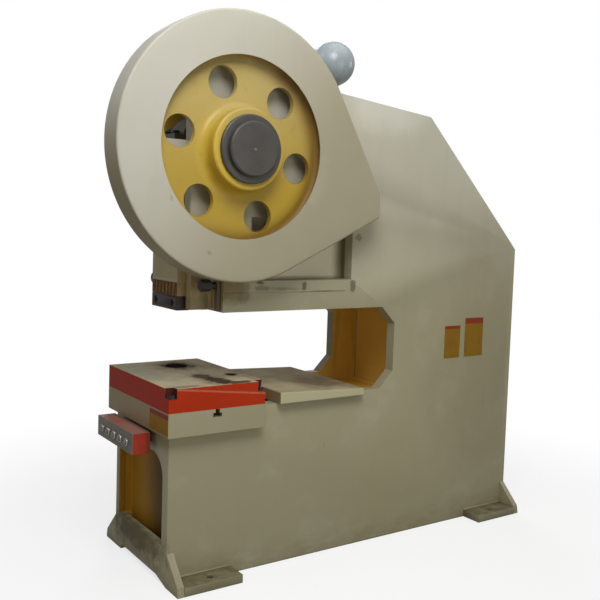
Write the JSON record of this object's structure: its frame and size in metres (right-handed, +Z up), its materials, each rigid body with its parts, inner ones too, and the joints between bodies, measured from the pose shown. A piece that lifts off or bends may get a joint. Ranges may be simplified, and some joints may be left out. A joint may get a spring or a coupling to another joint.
{
  "type": "mechanical stamping press",
  "caption": "Deep-throat gap-frame power press with side gear, crank-driven ram, bolster with T-slot, air receiver and push-button box.",
  "frame": {"origin": "middle of the four anchor bolts, on the floor", "axes": "+X across the frame to the gear side, +Y from the front to the rear, +Z up"},
  "size_m": [1.04, 2.56, 2.613],
  "materials": {
    "frame_cream": "semi-gloss, dusty",
    "inner_ochre": "dirty ochre paint",
    "recess_cream": "dusty cream paint",
    "bolster_red": "red sides, worn bare top",
    "dark_steel": "black, oily",
    "forged_steel": "machined",
    "bearing_bronze": "machined bronze",
    "gear_ochre": "ochre paint",
    "greased_steel": "greased, dark",
    "cast_grey": "cast, machined on the fits",
    "ram_cream": "cream paint, rusty slots",
    "gib_tan": "tan, oily",
    "guard_cream": "semi-gloss",
    "motor_grey": "semi-gloss",
    "belt_rubber": "matt",
    "receiver_blue": "semi-gloss grey-blue",
    "saddle_cream": "semi-gloss",
    "box_red": "semi-gloss red",
    "panel_grey": "satin dark grey",
    "bezel_metal": "satin",
    "button_cap": "light grey",
    "plate_yellow": "yellow with a red top band"
  },
  "bodies": {
    "frame": {"side_plate_right": "frame_cream", "side_plate_left": "frame_cream", "front_plate": "frame_cream", "rear_plate": "frame_cream", "anchor_feet": "frame_cream", "front_web": "inner_ochre", "throat_floor_plate": "inner_ochre", "throat_web": "inner_ochre", "head_floor_plate": "inner_ochre", "roof_plate": "frame_cream", "recess_pan": "recess_cream", "side_ledge": "frame_cream", "table_block": "frame_cream", "bolster_plate": "bolster_red", "rear_table_slab": "frame_cream", "bearing_housings": "cast_grey", "bearing_bushes": "bearing_bronze", "gib_right": "gib_tan", "gib_left": "gib_tan", "frame_bolts": "dark_steel", "gear_guard": "guard_cream", "gear_guard_stays": "guard_cream", "motor_body": "motor_grey", "motor_base": "inner_ochre", "belt_guard": "guard_cream", "air_receiver": "receiver_blue", "receiver_saddles": "saddle_cream", "control_box": "box_red", "control_panel": "panel_grey", "button_bezels": "bezel_metal", "control_box_brackets": "box_red", "blank_plates": "plate_yellow", "v_belts": "belt_rubber"},
    "crank": {"crankshaft": "forged_steel", "main_gear": "gear_ochre", "locking_collar": "dark_steel", "end_cap": "greased_steel"},
    "rod": {"connecting_rod": "cast_grey", "rod_cap": "cast_grey", "rod_bush": "bearing_bronze", "rod_cap_bolts": "dark_steel", "adjusting_screw": "forged_steel", "lock_ring": "forged_steel"},
    "ram": {"ram": "ram_cream", "shank_clamp": "dark_steel", "shank_clamp_screws": "dark_steel", "ball_seat": "bearing_bronze", "ball_retainer": "bearing_bronze"},
    "pinion": {"pinion_gear": "greased_steel", "pinion_shaft": "forged_steel"},
    "flywheel": {"flywheel": "cast_grey", "flywheel_bearings": "forged_steel", "clutch_brake_unit": "cast_grey"},
    "rotor": {"motor_shaft": "forged_steel", "motor_pulley": "cast_grey"},
    "button_1": {"push_button_1": "button_cap"},
    "button_2": {"push_button_2": "button_cap"},
    "button_3": {"push_button_3": "button_cap"},
    "button_4": {"push_button_4": "button_cap"},
    "button_5": {"push_button_5": "button_cap"}
  },
  "joints": [
    {"name": "crank_turn", "type": "hinge", "parent": "frame", "child": "crank", "pos_m": [0, -0.835, 2], "axis": [-1, 0, 0], "range_deg": [0, 180]},
    {"name": "pinion_turn", "type": "hinge", "parent": "frame", "child": "pinion", "pos_m": [0, -0.21681, 1.83436], "axis": [-1, 0, 0], "range_deg": [-972, 0]},
    {"name": "rod_pivot", "type": "hinge", "parent": "crank", "child": "rod", "pos_m": [0, -0.835, 2.05], "axis": [-1, 0, 0], "range_deg": [-180, 0]},
    {"name": "ram_slide", "type": "slide", "parent": "frame", "child": "ram", "axis": [0, 0, -1], "range_m": [0, 0.1]},
    {"name": "flywheel_spin", "type": "hinge", "parent": "frame", "child": "flywheel", "pos_m": [0, -0.21681, 1.83436], "axis": [-1, 0, 0], "continuous": true},
    {"name": "motor_spin", "type": "hinge", "parent": "frame", "child": "rotor", "pos_m": [0, 0.643, 1.52], "axis": [-1, 0, 0], "continuous": true},
    {"name": "button_1_push", "type": "slide", "parent": "frame", "child": "button_1", "axis": [0, 1, 0], "range_m": [0, 0.004], "stiffness_N_per_m": 400},
    {"name": "button_2_push", "type": "slide", "parent": "frame", "child": "button_2", "axis": [0, 1, 0], "range_m": [0, 0.004], "stiffness_N_per_m": 400},
    {"name": "button_3_push", "type": "slide", "parent": "frame", "child": "button_3", "axis": [0, 1, 0], "range_m": [0, 0.004], "stiffness_N_per_m": 400},
    {"name": "button_4_push", "type": "slide", "parent": "frame", "child": "button_4", "axis": [0, 1, 0], "range_m": [0, 0.004], "stiffness_N_per_m": 400},
    {"name": "button_5_push", "type": "slide", "parent": "frame", "child": "button_5", "axis": [0, 1, 0], "range_m": [0, 0.004], "stiffness_N_per_m": 400}
  ],
  "couplings": [
    {"joint": "pinion_turn", "follows": "crank_turn", "ratio": -5.4},
    {"joint": "rod_pivot", "follows": "crank_turn", "ratio": -1},
    {"joint": "ram_slide", "follows": "crank_turn", "m_per_rad": 0.031831},
    {"joint": "motor_spin", "follows": "flywheel_spin", "ratio": 4.0909}
  ]
}
